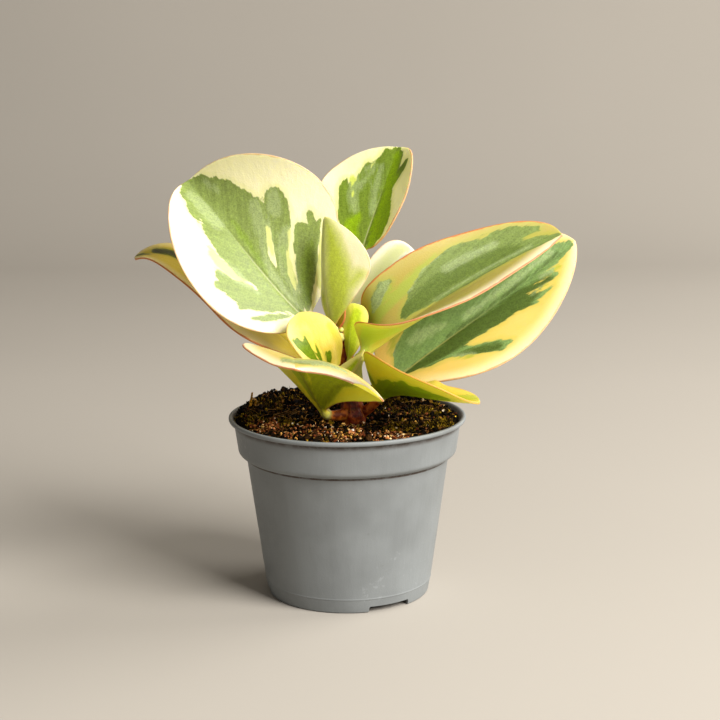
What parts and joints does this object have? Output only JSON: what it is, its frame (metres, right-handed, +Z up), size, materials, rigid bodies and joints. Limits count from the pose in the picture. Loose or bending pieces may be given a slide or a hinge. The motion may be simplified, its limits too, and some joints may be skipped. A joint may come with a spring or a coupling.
{
  "type": "potted peperomia",
  "caption": "Variegated peperomia with fleshy cream-edged green leaves in a small grey plastic nursery pot.",
  "frame": {"origin": "middle of the base of the whole object's bounding box, in the plane that the pot stands on", "axes": "+Z up, parallel to the pot's axis, -Y towards the front view, +X to the right of it"},
  "size_m": [0.169, 0.0938, 0.1683],
  "materials": {
    "pot_plastic": "slightly scuffed grey injection-moulded plastic",
    "potting_mix": "dark crumbly peat with bark and grit",
    "stem_skin": "smooth reddish-brown fleshy bark",
    "leaf_variegated": "satin fleshy leaf, green with cream margins",
    "leaf_young": "satin yellow-green young leaf"
  },
  "bodies": {
    "root": {"pot": "pot_plastic", "potting_mix": "potting_mix", "stem": "stem_skin", "leaf_large_left": "leaf_variegated", "leaf_far_left": "leaf_variegated", "leaf_top": "leaf_variegated", "leaf_centre_upright": "leaf_young", "leaf_back_pale": "leaf_variegated", "leaf_small_round": "leaf_variegated", "leaf_right_upper": "leaf_variegated", "leaf_right_lower": "leaf_variegated", "leaf_front_left": "leaf_variegated", "leaf_front_right": "leaf_variegated", "leaf_young_upright": "leaf_young", "leaf_young_olive": "leaf_young", "leaf_small_inner": "leaf_young"}
  },
  "joints": []
}
